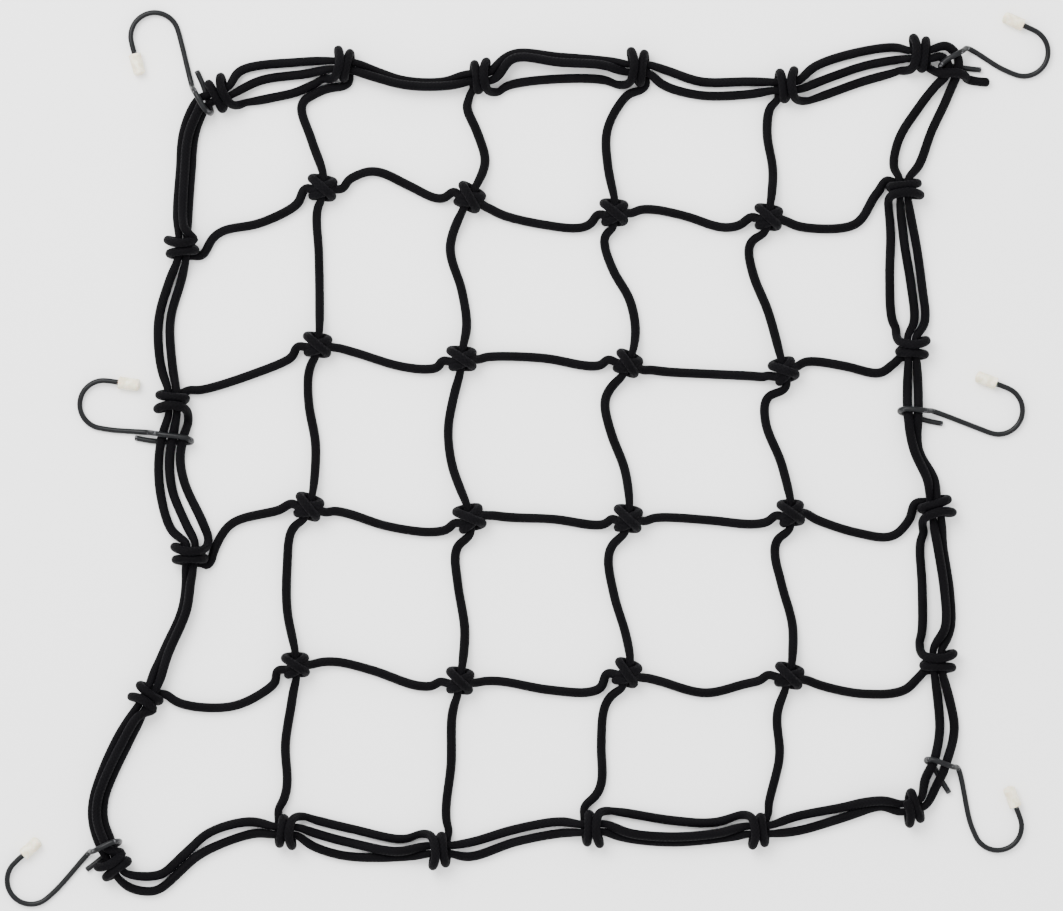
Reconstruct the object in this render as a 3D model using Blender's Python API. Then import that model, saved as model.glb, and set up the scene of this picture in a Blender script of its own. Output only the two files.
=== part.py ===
"""A cargo net of knotted elastic cord, 40 cm square, lying flat, with six wire hooks.

Units are metres, +Z is up, and the net lies on z = 0 with its origin at the middle of its
underside. Places in the tables are in millimetres. The border cord goes round the net twice.
The long cord goes up and down the net in one run, and the cross cord goes to and fro. Both
tie round the border, and the cross cord ties round each long stretch that it meets. Every
stretch of cord is a curve through the places in its row, and every knot is a turn of the
tying cord round the cords that it holds. The cords are then spread apart until none touch.
"""

import math

import bmesh
import bpy
import numpy as np
from mathutils import Matrix

MM = 0.001

# Cord and wire, in millimetres.
CORD_R = 2.4
CORD_SIDES = 6
WIRE_SIDES = 8
WIRE_R = 1.4
GAP = 0.4

# Knots. The cords inside a knot are squeezed thinner, and the tying cord goes round them.
SQUEEZED_R = 1.8
WRAP_R = 2.2
WRAP_STEP = 60  # degrees
WRAP_REACH = (SQUEEZED_R + GAP + WRAP_R) / math.cos(math.radians(WRAP_STEP / 2))
WRAP_PITCH = 5.0
STRAND_SPLIT = 2.0  # sideways from a border knot's middle to each of its two strands
HALF_KNOT = 5.0
BEYOND = 5.0  # how far past a border knot its tying cord is down beside the strands
LANDED = 2.0
ASIDE = 1.6
OVER = 45  # degrees, where a tying cord turns to lie on top of the strands
CUT_HALF = 0.5

# Heights of a cord's axis above the surface.
LOW = CORD_R * math.cos(math.pi / CORD_SIDES)
WRAP_LOW = WRAP_R * math.cos(math.pi / CORD_SIDES)
WIRE_LOW = WIRE_R * math.cos(math.pi / WIRE_SIDES)
KNOT_Z = WRAP_LOW + WRAP_REACH
EYE = 2 * WIRE_R + CORD_R + GAP
HIGH = LOW + 4.9
TOP = EYE + 4.9

MIDDLE = np.array([-0.5, -0.4, 0.0])  # of the net's outline, which goes to the origin

# How the cords are spread apart, in millimetres and rounds.
STEP = 1.5
NEAR = 11.0
SLACK = 0.5  # how far a tube's straight lengths may leave the smooth curve
CLEAR = 1.2
OWN_LENGTH = 12  # nearer than this along a cord, its own points don't push each other
ROUNDS = 90
EASE = 9.0  # a cord is held less and less this far from a knot
ROUNDS_A_SEARCH = 15
SOFTENINGS = 10
BLOCK = 500

# Border knots, clockwise from the top left: name, x, y, and the way the border runs there.
BORDER_KNOTS = (
    ("TL", -157, 184.5, 20), ("T1", -94.5, 199.5, -5), ("T2", -24.5, 193.5, 0),
    ("T3", 55.5, 198, 0), ("T4", 131.5, 189, 0), ("TR", 199, 205, 0),
    ("R1", 191, 136.5, -90), ("R2", 195, 55.5, -86), ("R3", 207, -26, -80),
    ("R4", 208, -104, -85), ("BR", 195, -177.5, -168), ("B4", 117, -189.5, 180),
    ("B3", 32.5, -188.5, 184), ("B2", -45.5, -199.5, 180), ("B1", -123.5, -190, 180),
    ("BL", -210.5, -207.5, 118), ("L4", -194, -122, 62), ("L3", -172, -49.5, 84),
    ("L2", -181, 28.5, 92), ("L1", -176, 107, 88),
)

# Knots inside the net, where a cross cord ties round a long cord: name, x, y, and the way
# the long cord runs there.
NET_KNOTS = (
    ("V1H1", -105, 137.5, -100), ("V1H2", -107.5, 57.5, -100), ("V1H3", -112, -25, -110),
    ("V1H4", -118.5, -105.5, -90), ("V2H4", -35, -113.5, 80), ("V2H3", -30, -30.5, 100),
    ("V2H2", -34, 50.5, 85), ("V2H1", -30, 132.5, 60), ("V3H1", 43.5, 125, -95),
    ("V3H2", 50.5, 48, -115), ("V3H3", 50.5, -31, -100), ("V3H4", 50, -109.5, -110),
    ("V4H4", 132.5, -111, 75), ("V4H3", 133.5, -28, 90), ("V4H2", 130, 44.5, 105),
    ("V4H1", 122, 122.5, 80),
)

# The two turns of the border cord, a row for each stretch from knot to knot: side, from, to,
# the places that the outer strand passes, and those that the inner strand passes.
BORDER = (
    ("top", "TL", "T1", ((-147, 197), (-116.5, 201.5)), ((-137, 192), (-113, 195.5))),
    ("top", "T1", "T2", ((-78.5, 197), (-63, 192), (-42.5, 191.5)),
     ((-80, 194, HIGH), (-63, 189.5, HIGH), (-42.5, 189, HIGH))),
    ("top", "T2", "T3", ((-8.5, 205.5), (16, 204), (39, 202)),
     ((-8.5, 203, HIGH), (16, 201, HIGH), (39, 199.5, HIGH))),
    ("top", "T3", "T4", ((71, 197), (87.5, 191.5), (112, 191.5)),
     ((69, 189.5), (87.5, 184.5), (112, 185))),
    ("top", "T4", "TR", ((145.5, 199), (164, 205.5), (186.5, 209)),
     ((152, 193), (171, 199.5), (187, 202.5))),
    ("right", "TR", "R1", ((213, 209.5, EYE), (219, 202, EYE), (214, 185), (205, 165.5), (199, 149)),
     ((209.5, 204.5, EYE), (213, 199, EYE), (200, 180), (189, 163), (186, 148.5))),
    ("right", "R1", "R2", ((197.5, 108.5), (200.5, 87), (202, 69)),
     ((191.5, 108.5), (195, 87), (196.5, 69))),
    ("right", "R2", "R3", ((198.5, 37), (198.5, 24.5, EYE), (198.5, 4), (206.5, -10.5)),
     ((193, 37), (193, 24.5, EYE), (196, 4, HIGH), (203, -11.5, HIGH))),
    ("right", "R3", "R4", ((211, -44.5), (214.5, -67.5), (215, -87)),
     ((208, -44.5, HIGH), (211.5, -67.5, HIGH), (212, -87, HIGH))),
    ("right", "R4", "BR", ((214.5, -123.5), (217, -139), (212.5, -156, EYE), (208, -167.5)),
     ((208.5, -123.5), (209.5, -139), (206.5, -154, EYE), (202, -164))),
    ("bottom", "BR", "B4", ((179.5, -177.5), (159, -184), (136, -190.5)),
     ((179.5, -174.5, HIGH), (159, -178.5), (136, -183))),
    ("bottom", "B4", "B3", ((97.5, -194), (73.5, -196), (50.5, -194)),
     ((97.5, -191, HIGH), (73.5, -193, HIGH), (50.5, -191, HIGH))),
    ("bottom", "B3", "B2", ((16, -191.5), (-7, -196), (-30, -203.5)),
     ((16, -185.5), (-7, -189.5), (-29, -196))),
    ("bottom", "B2", "B1", ((-66, -203.5), (-93.5, -203), (-110, -198)),
     ((-66, -200.5, HIGH), (-90, -196.5), (-107, -192))),
    ("bottom", "B1", "BL",
     ((-139.5, -191.5), (-163.5, -200), (-176, -208.5), (-189, -220.5), (-202.5, -219.5)),
     ((-142, -185.5), (-162.5, -191), (-173, -200), (-184, -211), (-194, -213.5))),
    ("left", "BL", "L4", ((-218, -198, EYE), (-222, -186), (-221.5, -173), (-209.5, -143)),
     ((-212.5, -195.5, EYE), (-216.5, -185), (-216, -173), (-204, -145.5))),
    ("left", "L4", "L3", ((-185.5, -98), (-176.5, -78), (-174.5, -64)),
     ((-183, -99, HIGH), (-174, -78, HIGH), (-172, -64, HIGH))),
    ("left", "L3", "L2", ((-182, -37), (-187.5, -19), (-188.5, -1), (-186.5, 11, EYE)),
     ((-174.5, -34), (-181.5, -17), (-183, -1), (-181, 11, EYE))),
    ("left", "L2", "L1", ((-187.5, 47), (-188.5, 70), (-183, 90)),
     ((-181.5, 47), (-182.5, 70), (-177, 90))),
    ("left", "L1", "TL", ((-179, 123.5), (-177.5, 145.5), (-175.5, 167), (-168, 182.5, EYE)),
     ((-173.5, 123.5), (-172, 145.5), (-170, 165.5), (-164.5, 178, EYE))),
)

# The long cord, a row for each stretch: node, from, to, and the places that it passes.
LONG_CORD = (
    ("long_cord_1", "TL", "T1", ((-143, 181), (-132, 183), (-112, 188))),
    ("long_cord_1", "T1", "V1H1", ((-115.5, 181), (-111, 163))),
    ("long_cord_1", "V1H1", "V1H2", ((-108, 123.5), (-107, 106), (-106.5, 82))),
    ("long_cord_1", "V1H2", "V1H3", ((-112, 43.5), (-112, 27), (-108.5, 6.5))),
    ("long_cord_1", "V1H3", "V1H4", ((-121, -37.5), (-123, -55), (-123, -78))),
    ("long_cord_1", "V1H4", "B1", ((-121, -126.5), (-124, -146.5), (-123, -167))),
    ("long_cord_2", "B1", "B2", ((-107.5, -185), (-89, -189.5), (-64, -194.5))),
    ("long_cord_2", "B2", "V2H4", ((-42, -177), (-39.5, -157), (-39, -131.5))),
    ("long_cord_2", "V2H4", "V2H3", ((-32.5, -88), (-36, -65), (-37, -47))),
    ("long_cord_2", "V2H3", "V2H2", ((-39, -4), (-41, 14), (-38.5, 29.5))),
    ("long_cord_2", "V2H2", "V2H1", ((-31.5, 67.5), (-34, 85), (-40, 107))),
    ("long_cord_2", "V2H1", "T2", ((-22, 150.5), (-26.5, 166.5), (-31.5, 179))),
    ("long_cord_3", "T2", "T3", ((-10.5, 189.5), (8.5, 192.5), (38, 192.5))),
    ("long_cord_3", "T3", "V3H1", ((49.5, 184), (40, 167), (40.5, 147.5))),
    ("long_cord_3", "V3H1", "V3H2", ((38.5, 111), (43, 95.5), (51.5, 80.5), (54.5, 65))),
    ("long_cord_3", "V3H2", "V3H3", ((39, 30), (42, 12.5), (49, -6))),
    ("long_cord_3", "V3H3", "V3H4", ((41, -48), (43.5, -70), (49.5, -90))),
    ("long_cord_3", "V3H4", "B3", ((39, -126), (37, -146.5), (37, -167))),
    ("long_cord_4", "B3", "B4", ((49, -181), (73.5, -185), (95, -186))),
    ("long_cord_4", "B4", "V4H4", ((124, -169.5), (128, -151.5), (126.5, -131.5))),
    ("long_cord_4", "V4H4", "V4H3", ((134.5, -85.5), (129, -65), (125.5, -44.5))),
    ("long_cord_4", "V4H3", "V4H2", ((128.5, -2), (121, 16.5), (121, 29.5))),
    ("long_cord_4", "V4H2", "V4H1", ((122, 74.5), (114.5, 93), (112.5, 108))),
    ("long_cord_4", "V4H1", "T4", ((124.5, 146.5), (121.5, 164.5), (123, 178))),
    ("long_cord_end", "T4", "TR", ((152, 185), (170, 191.5), (186, 196))),
    ("long_cord_end", "TR", None, ((218, 196.5, HIGH), (224, 192.5), (235, 191))),
)

# The cross cord, in the same way.
CROSS_CORD = (
    ("cross_cord_1", "BL", "L4", ((-215, -197, TOP), (-219.5, -185.5, HIGH),
                                  (-219, -173, HIGH), (-206.5, -144.5, HIGH))),
    ("cross_cord_1", "L4", "V1H4", ((-173, -126.5), (-149.5, -126.5), (-132, -117.5))),
    ("cross_cord_1", "V1H4", "V2H4", ((-98.5, -104), (-79.5, -108.5), (-55.5, -116.5))),
    ("cross_cord_1", "V2H4", "V3H4", ((-14.5, -114), (11, -118.5), (34, -119))),
    ("cross_cord_1", "V3H4", "V4H4", ((67, -114), (90, -120), (112, -115))),
    ("cross_cord_1", "V4H4", "R4", ((150, -116.5), (171.5, -120.5), (192, -118.5))),
    ("cross_cord_2", "R4", "R3", ((200.5, -88.5), (200.5, -65), (199.5, -44))),
    ("cross_cord_2", "R3", "V4H3", ((186, -40), (168, -38.5), (147.5, -32))),
    ("cross_cord_2", "V4H3", "V3H3", ((115.5, -34), (92.5, -32), (69.5, -30.5))),
    ("cross_cord_2", "V3H3", "V2H3", ((34, -34.5), (13.5, -31.5), (-10, -30.5))),
    ("cross_cord_2", "V2H3", "V1H3", ((-47.5, -38), (-72, -35), (-94, -28))),
    ("cross_cord_2", "V1H3", "L3", ((-134.5, -28.5), (-152, -34), (-162.5, -50))),
    ("cross_cord_3", "L3", "L2", ((-167, -31), (-175, -14), (-177.5, -1), (-175.5, 11, EYE))),
    ("cross_cord_3", "L2", "V1H2", ((-160, 36), (-139, 43), (-124, 49))),
    ("cross_cord_3", "V1H2", "V2H2", ((-88.5, 53.5), (-65.5, 46.5), (-50, 45))),
    ("cross_cord_3", "V2H2", "V3H2", ((-17, 51.5), (8.5, 50.5), (31.5, 46.5))),
    ("cross_cord_3", "V3H2", "V4H2", ((67, 44), (92.5, 42.5), (114, 41.5))),
    ("cross_cord_3", "V4H2", "R2", ((143, 49), (161.5, 46.5), (179.5, 43))),
    ("cross_cord_4", "R2", "R1", ((185, 71), (184, 92.5), (184.5, 114))),
    ("cross_cord_4", "R1", "V4H1", ((177, 134), (167, 119), (138.5, 117.5))),
    ("cross_cord_4", "V4H1", "V3H1", ((100, 117), (80, 123), (62, 126.5))),
    ("cross_cord_4", "V3H1", "V2H1", ((27, 117), (8.5, 118.5), (-14.5, 124))),
    ("cross_cord_4", "V2H1", "V1H1", ((-47, 132), (-61, 138.5), (-79.5, 146))),
    ("cross_cord_4", "V1H1", "L1", ((-120.5, 127), (-138, 119), (-157, 115))),
    ("cross_cord_end", "L1", "TL", ((-176, 123.5, HIGH), (-175, 145.5, HIGH),
                                    (-173, 164.5, HIGH), (-166, 180.5, TOP))),
)

# Stretches that lie on top of the border's two strands, not on their inner side.
ON_TOP = {("BL", "L4"), ("L1", "TL")}

# Hooks: name, middle of the bend, the way the shank runs from the eye, the side that the
# bend turns to, middle of the eye, the way the eye points, half its inner width and height.
TWO, THREE = 5.2, 8.1
HOOKS = (
    ("left_top", -190.5, 214.5, 105, 1, -166.5, 180.5, 120, TWO, TOP),
    ("right_top", 252.5, 206.5, -24, 1, 215, 203.5, 30, TWO, EYE),
    ("left_middle", -216.5, 27, 172, -1, -181, 11, 172, THREE, EYE),
    ("right_middle", 239.5, 24, -21, 1, 196, 24.5, -5, TWO, EYE),
    ("left_bottom", -253.5, -215.5, 223, -1, -215, -197, 206, TWO, TOP + 0.6),
    ("right_bottom", 239, -188, -69, 1, 209.5, -155, -20, TWO, EYE),
)
BEND_R = 12.2
BEND_STEPS = 9
LEG = 6.5
TIP_R = 3.1
TIP_LENGTH = 11.3
TIP_ROUND = 0.9
TIP_SIDES = 12
RETURN_END = 8.0  # how far the wire's cut end reaches back beside the shank
RETURN_ASIDE = 3.6

BLACK_CORD = ((0.010, 0.009, 0.012, 1), 0.75, 0.0)
BLACK_WIRE = ((0.022, 0.024, 0.027, 1), 0.35, 0.6)
CREAM_PLASTIC = ((0.86, 0.84, 0.72, 1), 0.4, 0.0)


def flat(degrees):
    """The unit vector that points this way on the surface."""
    turn = math.radians(degrees)
    return np.array([math.cos(turn), math.sin(turn), 0.0])


def left_of(way):
    return np.array([-way[1], way[0], 0.0])


KNOTS = {
    name: (np.array([x, y, KNOT_Z]), flat(way)) for name, x, y, way in BORDER_KNOTS + NET_KNOTS
}
UP = np.array([0.0, 0.0, 1.0])
IN_BORDER = {row[0] for row in BORDER_KNOTS}


def place(point):
    """A table's place, (x, y) or (x, y, height), as x, y, z."""
    return np.array([point[0], point[1], point[2] if len(point) > 2 else LOW], float)


def smooth(before, points, after, steps=12):
    """The centripetal Catmull-Rom curve through points, which leaves from the way of before
    and arrives in the way of after. It never sinks under the surface."""
    chain = np.array([before, *points, after])
    gaps = np.sqrt(np.linalg.norm(np.diff(chain, axis=0), axis=1))
    knots = np.concatenate([[0], np.cumsum(np.maximum(gaps, 1e-3))])
    found = [chain[1]]
    for k in range(1, len(chain) - 2):
        t0, t1, t2, t3 = knots[k - 1:k + 3]
        p0, p1, p2, p3 = chain[k - 1:k + 3]
        t = np.linspace(t1, t2, steps + 1)[1:, None]
        a1 = (t1 - t) / (t1 - t0) * p0 + (t - t0) / (t1 - t0) * p1
        a2 = (t2 - t) / (t2 - t1) * p1 + (t - t1) / (t2 - t1) * p2
        a3 = (t3 - t) / (t3 - t2) * p2 + (t - t2) / (t3 - t2) * p3
        b1 = (t2 - t) / (t2 - t0) * a1 + (t - t0) / (t2 - t0) * a2
        b2 = (t3 - t) / (t3 - t1) * a2 + (t - t1) / (t3 - t1) * a3
        found.extend((t2 - t) / (t2 - t1) * b1 + (t - t1) / (t2 - t1) * b2)
    return np.array(found)


def dense(points, radii, kept):
    """The route with a point every STEP: (points, radii, which of them are kept)."""
    found, thick, keep = [], [], []
    for k, (start, end) in enumerate(zip(points[:-1], points[1:])):
        shares = np.arange(max(1, round(np.linalg.norm(end - start) / STEP)))
        shares = shares / len(shares)
        found.append(start + np.outer(shares, end - start))
        thick.append(radii[k] + shares * (radii[k + 1] - radii[k]))
        keep.append((shares == 0) & kept[k])
    ends = [points[-1:]], [radii[-1:]], [[True]]
    return tuple(np.concatenate([*parts, *last]) for parts, last in zip((found, thick, keep), ends))


def thinned(points, kept):
    """The numbers of the fewest points, with the kept ones, whose poly line stays within
    SLACK of every point."""
    marks = [0, *np.flatnonzero(kept), len(points) - 1]
    waiting = list(zip(marks[:-1], marks[1:]))
    while waiting:
        start, end = waiting.pop()
        if end - start < 2:
            continue
        line = points[end] - points[start]
        between = points[start + 1:end] - points[start]
        share = np.clip(between @ line / max(line @ line, 1e-9), 0, 1)
        away = np.linalg.norm(between - np.outer(share, line), axis=1)
        if away.max() > SLACK:
            middle = start + 1 + int(away.argmax())
            marks.append(middle)
            waiting += [(start, middle), (middle, end)]
    return sorted(set(marks))


def whole_cord(name):
    """The cord that a node is a piece of: its strand for the border, or its first word."""
    return name.split("_")[-1] if name.startswith("border") else name.rsplit("_", 1)[0]


def close_pairs(places, cord, along):
    """The pairs of points nearer than NEAR, on two cords or far apart along one."""
    found = []
    for k in range(0, len(places), BLOCK):
        gaps = np.linalg.norm(places[k:k + BLOCK, None] - places[None], axis=2)
        same = cord[k:k + BLOCK, None] == cord[None]
        own = same & (np.abs(along[k:k + BLOCK, None] - along[None]) < OWN_LENGTH)
        near = (gaps < NEAR) & ~own
        one, other = np.nonzero(near)
        ahead = one + k < other
        found.append(np.column_stack([one[ahead] + k, other[ahead]]))
    return np.concatenate(found)


def held(points, kept):
    """Which of a route's points lie in a knot: between two kept ones that are close."""
    marks = np.flatnonzero(kept)
    inside = kept.copy()
    for start, end in zip(marks[:-1], marks[1:]):
        if np.linalg.norm(points[end] - points[start]) <= 2 * HALF_KNOT + STEP:
            inside[start:end] = True
    return inside


def freedom(points, inside):
    """How free each point is to move, from 0 in a knot to 1 at EASE or more from one."""
    along = np.cumsum([0, *np.linalg.norm(np.diff(points, axis=0), axis=1)])
    away = np.abs(along[:, None] - along[inside][None]).min(axis=1)
    return np.minimum(away / EASE, 1)


def spread_apart(routes, still):
    """Moves the cords' free stretches aside until no two are nearer than they can lie. The
    knots and the routes named in still stay where they are. routes holds, by name, the
    points, the radii and which points are kept. A cord is thinner near its knots."""
    names = list(routes)
    sizes = [len(routes[name][0]) for name in names]
    places = np.concatenate([routes[name][0] for name in names])
    free = [np.zeros(len(points)) if name in still else freedom(points, held(points, kept))
            for name, (points, _, kept) in routes.items()]
    radii = np.concatenate([
        np.where(share > 0, np.minimum(radii, radii.min() + share * (CORD_R - radii.min())), radii)
        for share, (_, radii, _) in zip(free, routes.values())
    ])
    free = np.concatenate(free)[:, None]
    node = np.repeat(np.arange(len(names)), sizes)
    cord = np.array([whole_cord(name) for name in names])[node]
    along = np.cumsum([0, *np.linalg.norm(np.diff(places, axis=0), axis=1)])
    lowest = radii * math.cos(math.pi / CORD_SIDES)
    places[:, 2] = np.maximum(places[:, 2], lowest)
    for turn in range(ROUNDS):
        if turn % ROUNDS_A_SEARCH == 0:
            one, other = close_pairs(places, cord, along).T
        apart = places[one] - places[other]
        gaps = np.maximum(np.linalg.norm(apart, axis=1), 1e-6)
        short = np.maximum(radii[one] + radii[other] + CLEAR - gaps, 0)
        push = apart * (short / gaps)[:, None]
        half = 1 / np.maximum((free[one] > 0) * 1.0 + (free[other] > 0), 1)
        move, count = np.zeros_like(places), np.zeros(len(places))
        np.add.at(move, one, push * half)
        np.add.at(move, other, -push * half)
        np.add.at(count, one, short > 0)
        np.add.at(count, other, short > 0)
        move /= np.maximum(count, 1)[:, None]
        for _ in range(SOFTENINGS):
            same = node[1:] == node[:-1]
            step = np.where(same[:, None], move[1:] - move[:-1], 0) / 4
            move[:-1] += step
            move[1:] -= step
        places = places + move * free
        places[:, 2] = np.maximum(places[:, 2], lowest)
    ends = np.cumsum(sizes)[:-1]
    return dict(zip(names, zip(np.split(places, ends), np.split(radii, ends))))


def half_turns(points):
    """How often the line has passed upright before each point. A section that keeps one side
    level turns half round there, and this many half turns back keep the tube from twisting."""
    ways = np.diff(points, axis=0)
    ways /= np.linalg.norm(ways, axis=1)[:, None]
    ways = np.concatenate([ways[:1], ways, ways[-1:]])
    across = ways[:-1, :2] + ways[1:, :2]
    turned = (across[1:] * across[:-1]).sum(axis=1) < 0
    return np.concatenate([[0], np.cumsum(turned)])


def tube(name, points, radius, sides, shares):
    """A mesh tube of this many sides, one of them flat underneath, on a poly line in
    millimetres, with closed ends. shares are each point's share of the radius."""
    data = bpy.data.curves.new(name, "CURVE")
    data.dimensions = "3D"
    data.twist_mode = "Z_UP"
    data.bevel_depth = radius * MM
    data.bevel_resolution = sides // 2 - 2
    data.use_fill_caps = True
    spline = data.splines.new("POLY")
    spline.points.add(len(points) - 1)
    places = np.column_stack([points * MM, np.ones(len(points))])
    spline.points.foreach_set("co", places.ravel())
    level = 0 if sides % 4 else math.pi / sides
    spline.points.foreach_set("tilt", level + math.pi * half_turns(points))
    spline.points.foreach_set("radius", shares)
    curve = bpy.data.objects.new(name, data)
    bpy.context.scene.collection.objects.link(curve)
    bpy.context.view_layer.update()
    graph = bpy.context.evaluated_depsgraph_get()
    mesh = bpy.data.meshes.new_from_object(curve.evaluated_get(graph))
    bpy.data.objects.remove(curve)
    build = bmesh.new()
    build.from_mesh(mesh)
    bmesh.ops.remove_doubles(build, verts=build.verts, dist=1e-6)
    bmesh.ops.recalc_face_normals(build, faces=build.faces)
    build.to_mesh(mesh)
    build.free()
    return mesh


def finish(name, mesh, colour, collection):
    """The node made of this mesh, moved so that the net's middle is the origin, with its
    own material."""
    base, roughness, metallic = colour
    material = bpy.data.materials.new(name)
    material.use_nodes = True
    shader = material.node_tree.nodes["Principled BSDF"]
    shader.inputs["Base Color"].default_value = base
    shader.inputs["Roughness"].default_value = roughness
    shader.inputs["Metallic"].default_value = metallic
    mesh.name = name
    mesh.transform(Matrix.Translation(-MIDDLE * MM))
    mesh.materials.clear()
    mesh.materials.append(material)
    mesh.shade_smooth()
    mesh.set_sharp_from_angle(angle=math.radians(50))
    obj = bpy.data.objects.new(name, mesh)
    collection.objects.link(obj)
    return obj


def turns_round(knot, start, end, split, drift):
    """The turns that a tying cord makes round a knot's cords, from one angle to another:
    0 is the left of the cords' way and 90 is above them. The cord drifts along their way."""
    middle, way = KNOTS[knot]
    steps = math.ceil(abs(end - start) / WRAP_STEP)
    angles = np.radians(np.linspace(start, end, steps + 1))
    sideways = WRAP_REACH * np.cos(angles) + split * np.clip(2 * np.cos(angles), -1, 1)
    height = WRAP_REACH * np.sin(angles)
    along = np.linspace(-drift / 2, drift / 2, steps + 1)
    return middle + np.outer(sideways, left_of(way)) + np.outer(height, UP) + np.outer(along, way)


def beyond_knot(knot, on_top, onward):
    """Two places of a tying cord just past a border knot, going away from it: above the
    strands or inside them."""
    middle, way = KNOTS[knot]
    past = middle + onward * np.outer(WRAP_PITCH / 2 + BEYOND + np.array([0, LANDED]), way)
    if on_top:
        return past + WRAP_REACH * UP
    inside = past - (STRAND_SPLIT + WRAP_REACH + ASIDE) * left_of(way)
    inside[:, 2] = LOW
    return inside


def net_tie(knot, came_from, goes_to):
    """One whole turn of the cross cord round the long cord, begun and ended underneath."""
    middle, way = KNOTS[knot]
    side = math.copysign(1, (came_from - middle) @ left_of(way))
    drift = math.copysign(WRAP_PITCH, (goes_to - came_from) @ way)
    return turns_round(knot, -90, -90 - side * 360, 0, drift)


def border_tie(came, goes):
    """The turns of a tying cord round the border's strands, between two rows of a table. A
    cord that came from inside the net goes under the strands and up their outer side, and
    one that came along the border goes over them first. Where the cord starts or ends it
    makes a whole turn."""
    knot = goes[1]
    middle, way = KNOTS[knot]
    if came is None or came[1] not in IN_BORDER:
        onward = math.copysign(1, (place(goes[3][0]) - middle) @ way)
        end = OVER if goes[1:3] in ON_TOP else 180
        turns = turns_round(knot, end - 360 if came is None else -90, end,
                            STRAND_SPLIT, onward * WRAP_PITCH)
        return np.vstack([turns, beyond_knot(knot, end == OVER, onward)])
    onward = math.copysign(1, (middle - place(came[3][-1])) @ way)
    start = OVER if came[1:3] in ON_TOP else 180
    turns = turns_round(knot, start, -90 if goes[2] else -180, STRAND_SPLIT, onward * WRAP_PITCH)
    return np.vstack([beyond_knot(knot, start == OVER, -onward)[::-1], turns])


def at_knot(came, goes, crosses):
    """A cord's places at the knot between two rows of its table."""
    knot = goes[1]
    middle, way = KNOTS[knot]
    if knot in IN_BORDER:
        return border_tie(came, goes)
    if crosses:
        return net_tie(knot, place(came[3][-1]), place(goes[3][0]))
    return np.array([middle - HALF_KNOT * way, middle + HALF_KNOT * way])


def cord_route(node, table, crosses):
    """(points, radii, kept) of one piece of the long or the cross cord. The long cord passes
    straight through the knots inside the net, and the cross cord ties them. A piece has the
    turns where its stretches end, and the first piece those where the cord starts too."""
    before = [None, *table]
    after = [*table[1:], None]
    points, radii, kept = [], [], []
    for came, row, goes in zip(before, table, after):
        if row[0] != node:
            continue
        head = at_knot(came, row, crosses)
        if not points:
            way = (head[-1] - head[-2]) / np.linalg.norm(head[-1] - head[-2])
            points = list(head) if came is None else [head[-1] + GAP * way, head[-1] + 2 * way]
            radii, kept = [WRAP_R] * len(points), [True] * len(points)
        via = [place(p) for p in row[3]]
        last = goes is None
        foot = [via.pop()] if last else list(at_knot(row, goes, crosses))
        ahead = 2 * foot[0] - via[-1] if last else foot[1]
        found = smooth(points[-2], [points[-1], *via, foot[0]], ahead)[1:-1]
        knot_r = WRAP_R if crosses or row[2] in IN_BORDER else SQUEEZED_R
        points += [*found, *foot]
        radii += [CORD_R] * len(found) + [CORD_R if last else knot_r] * len(foot)
        kept += [False] * len(found) + [True] * len(foot)
    return dense(points, np.array(radii), np.array(kept))


def border_route(side, which, outward):
    """(points, radii, kept) of one turn of the border cord along one side."""
    rows = [row for row in BORDER if row[0] == side]
    points, radii, kept = [], [], []
    for row in rows:
        (begin, leave), (stop, arrive) = KNOTS[row[1]], KNOTS[row[2]]
        begin = begin + outward * STRAND_SPLIT * left_of(leave)
        stop = stop + outward * STRAND_SPLIT * left_of(arrive)
        through = [begin + HALF_KNOT * leave, *map(place, row[which]), stop - HALF_KNOT * arrive]
        if not points:
            points, radii, kept = [begin + CUT_HALF * leave], [SQUEEZED_R], [True]
        found = smooth(begin, through, stop)
        points += list(found)
        radii += [SQUEEZED_R, *[CORD_R] * (len(found) - 2), SQUEEZED_R]
        kept += [True, *[False] * (len(found) - 2), True]
    points.append(stop - CUT_HALF * arrive)
    return dense(points, np.array([*radii, SQUEEZED_R]), np.array([*kept, True]))


def all_routes():
    """The routes of every cord, by node, once they are spread apart, and of the wires. The
    corner knot is a turn that holds the border's two strands where no cord ends."""
    routes = {}
    for side in ("top", "right", "bottom", "left"):
        routes[f"border_{side}_outer"] = border_route(side, 3, 1)
        routes[f"border_{side}_inner"] = border_route(side, 4, -1)
    for table, crosses in ((LONG_CORD, False), (CROSS_CORD, True)):
        for node in dict.fromkeys(row[0] for row in table):
            routes[node] = cord_route(node, table, crosses)
    ring = turns_round("BR", 180, -180, STRAND_SPLIT, WRAP_PITCH)
    routes["corner_knot"] = dense(ring, np.full(len(ring), WRAP_R), np.full(len(ring), True))
    tips = {}
    for name, bend_x, bend_y, heading, side, eye_x, eye_y, eye_way, half, over in HOOKS:
        bend, eye = np.array([bend_x, bend_y, 0.0]), np.array([eye_x, eye_y, 0.0])
        wire, *tip = hook_route(bend, heading, side, eye, eye_way, half, over)
        routes[f"hook_{name}"], tips[f"tip_{name}"] = wire, tip
    still = {"corner_knot", *(f"hook_{row[0]}" for row in HOOKS)}
    spread = spread_apart(routes, still)
    routes = {name: (*spread[name], routes[name][2]) for name in routes}
    return routes, tips


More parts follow.
